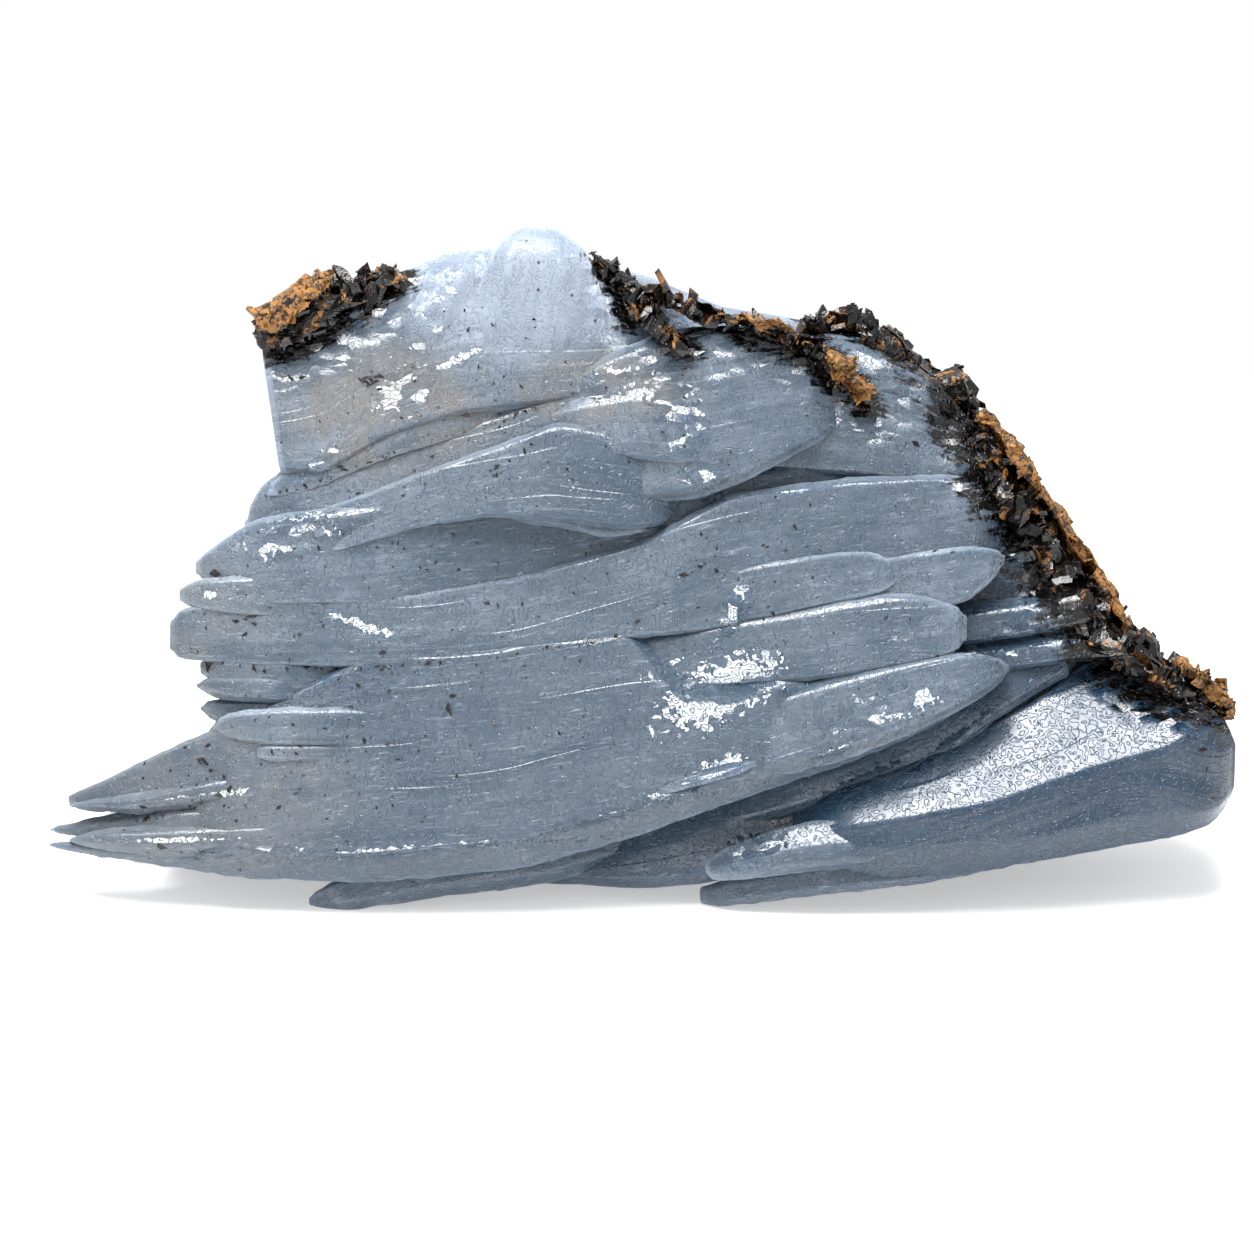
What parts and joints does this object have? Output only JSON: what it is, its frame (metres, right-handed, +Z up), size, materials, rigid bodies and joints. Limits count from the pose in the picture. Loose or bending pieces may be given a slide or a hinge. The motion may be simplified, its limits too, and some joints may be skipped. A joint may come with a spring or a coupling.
{
  "type": "barite crystal cluster",
  "caption": "Fan of pale blue bladed barite crystals grown together, with black and ochre oxide crust along its slanting root edge.",
  "frame": {"origin": "on the surface that the cluster rests on, below the middle of its bounding box", "axes": "+X along the blades, from their pointed tips to the crusted root; -Y towards the viewer's side, the face in the picture; +Z up"},
  "size_m": [0.119, 0.0412, 0.0654],
  "materials": {
    "barite": "translucent milky pale blue crystal, vitreous to pearly, with a fine natural etch that glints on the faces that look up",
    "black_oxide": "crumbly black manganese oxide, dull to sub-metallic, with small glinting faces",
    "ochre_oxide": "earthy ochre to rust-brown iron oxide, matt"
  },
  "bodies": {
    "root": {"barite_crystals": "barite", "black_oxide_edge_crust": "black_oxide", "black_oxide_ridge_crust": "black_oxide", "black_oxide_corner_crust": "black_oxide", "ochre_corner_crust": "ochre_oxide", "ochre_edge_crust": "ochre_oxide", "ochre_foot_crust": "ochre_oxide", "ochre_ridge_crust": "ochre_oxide", "ochre_ridge_end_crust": "ochre_oxide"}
  },
  "joints": []
}
